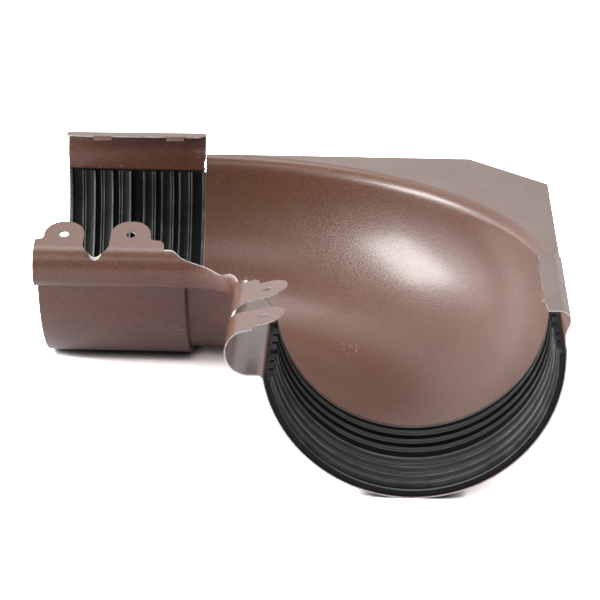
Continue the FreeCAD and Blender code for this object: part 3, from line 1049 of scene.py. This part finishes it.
studio = {
    "floorSize": 8.0,
    "floorColour": (0.70, 0.70, 0.75, 1.0),
    "floorSeen": (4.6, 4.62, 4.64),  # how pale the camera sees it, so that the open floor is white
    "contact": 0.0048,  # how near the part a painted contact shadow darkens the floor
    # how dark that painted shadow gets
    "contactDepth": 1.8,
    "back": (1.1, 1.1, 1.1, 1.0),  # what gloss shows behind the part
    "front": (0.17, 0.17, 0.18, 1.0),  # in front of it
    "leftGlow": 0.5,  # and how much paler than that to the left
    "daylight": 0.66,
}
lamps = {
    # direction from the part, then distance and size in metres, power in watts and roll in radians
    "keyBox": {"direction": (-0.937, -0.122, 0.332), "distance": 1.3, "size": (0.74, 0.50),
               "power": 18.4, "roll": -0.45},
    "leftWall": {"direction": (-0.80, 0.36, 0.12), "distance": 1.5, "size": (1.1, 0.6),
                 "power": 3.8, "roll": 0.0},
    "topSpot": {"direction": (-0.10, 0.27, 0.96), "distance": 1.6, "size": (0.85, 0.70),
                "power": 5.8, "roll": 0.0},
    "frontFill": {"direction": (-0.30, -0.58, 0.75), "distance": 1.5, "size": (0.7, 0.5),
                  "power": 2.2, "roll": 0.0},
}
view = {
    # fitted to the photograph, in mm and radians from where the two gutter axes cross
    "place": (-14.69, -1214.29, 413.98),
    "yaw": -0.033,
    "pitch": -0.3675,
    "roll": 0.0095,
    "lens": 156.29,
}


def makeFloor():
    bm = bmesh.new()
    bmesh.ops.create_grid(bm, x_segments=1, y_segments=1, size=studio["floorSize"] / 2.0)
    material = bpy.data.materials.new("studio floor")
    material.use_nodes = True
    tree = material.node_tree
    tree.nodes.clear()
    seen = addNode(tree, "LightPath").outputs["Is Camera Ray"]
    # painted contact shadow: ambient occlusion near the part darkens the floor's seen colour
    near = addNode(tree, "AmbientOcclusion", {"Distance": studio["contact"]}, samples=8).outputs["AO"]
    near = mathOf(tree, "POWER", near, studio["contactDepth"])
    seenWithPaintedShadow = addNode(tree, "VectorMath", {0: studio["floorSeen"], 1: near}, operation="MULTIPLY").outputs[0]
    colour = mixColours(tree, seen, studio["floorColour"], seenWithPaintedShadow)
    matt = addNode(tree, "BsdfDiffuse", {"Color": colour})
    addNode(tree, "OutputMaterial", {"Surface": matt.outputs[0]})
    floor = makeObject("studio_floor", bm, [material])


def makeWorld():
    # even light on the object, and for gloss a studio that is white behind and dark in front
    world = bpy.data.worlds.new("studio")
    bpy.context.scene.world = world
    world.use_nodes = True
    tree = world.node_tree
    ways = addNode(tree, "SeparateXYZ", {0: addNode(tree, "TexCoord").outputs["Generated"]}).outputs
    room = mixColours(tree, rangeOf(tree, ways["Y"], -0.35, 0.55), studio["front"], studio["back"])
    glow = rangeOf(tree, ways["X"], -0.25, -0.9, 0.0, studio["leftGlow"])
    room = mixColours(tree, glow, room, studio["back"])
    path = addNode(tree, "LightPath").outputs
    seen = mathOf(tree, "MAXIMUM", path["Is Camera Ray"], path["Is Glossy Ray"])
    seen = mathOf(tree, "MAXIMUM", seen, path["Is Transmission Ray"])
    even = (studio["daylight"],) * 3 + (1.0,)
    tree.links.new(mixColours(tree, seen, even, room), tree.nodes["Background"].inputs["Color"])


def makeLamps():
    centre = (cadBounds[0] + cadBounds[1]) / 2.0
    for name, lamp in lamps.items():
        direction = Vector(lamp["direction"]).normalized()
        light = bpy.data.lights.new(name, "AREA")
        light.shape = "RECTANGLE"
        light.size, light.size_y = lamp["size"]
        light.energy = lamp["power"]
        holder = bpy.data.objects.new(name, light)
        holder.location = centre + direction * lamp["distance"]
        turn = direction.to_track_quat("Z", "Y") @ Quaternion((0, 0, 1), lamp["roll"])
        holder.rotation_euler = turn.to_euler()
        bpy.context.scene.collection.objects.link(holder)


def makeCamera():
    camera = bpy.data.objects.new("camera", bpy.data.cameras.new("camera"))
    camera.data.lens = view["lens"]
    camera.data.sensor_width = 36.0
    camera.data.clip_end = 20.0
    camera.matrix_world = (Matrix.Translation(fitPlace(view["place"]))
                           @ Matrix.Rotation(-view["yaw"], 4, "Z")
                           @ Matrix.Rotation(math.pi / 2.0 + view["pitch"], 4, "X")
                           @ Matrix.Rotation(view["roll"], 4, "Z"))
    bpy.context.scene.collection.objects.link(camera)
    bpy.context.scene.camera = camera


dust = dustGroup()
coating = coatedSheet(grainGroup(), scuffGroup(), dust)
shearedEdge = bareMetal("sheared edge", metal["dull"], metal["dullRoughness"], metal["dullFlecks"])
trimmedEdge = bareMetal("trimmed edge", metal["bright"], metal["brightRoughness"], metal["brightFlecks"])
print("materials made")

body = sheetBody(coating, shearedEdge, trimmedEdge)
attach(body, "root")
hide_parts("corner_body")
print("sheet body:", len(body.data.polygons), "faces")

for side in ("left", "front"):
    seal = makeSeal("ribbed_seal_" + side, sealRubber(side, dust), side == "front")
    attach(seal, "root")
    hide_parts("seal_" + side)
    print("seal", side + ":", len(seal.data.polygons), "faces")

makeFloor()
makeWorld()
makeLamps()
makeCamera()
bpy.context.scene.view_settings.view_transform = "Standard"
print("studio made")
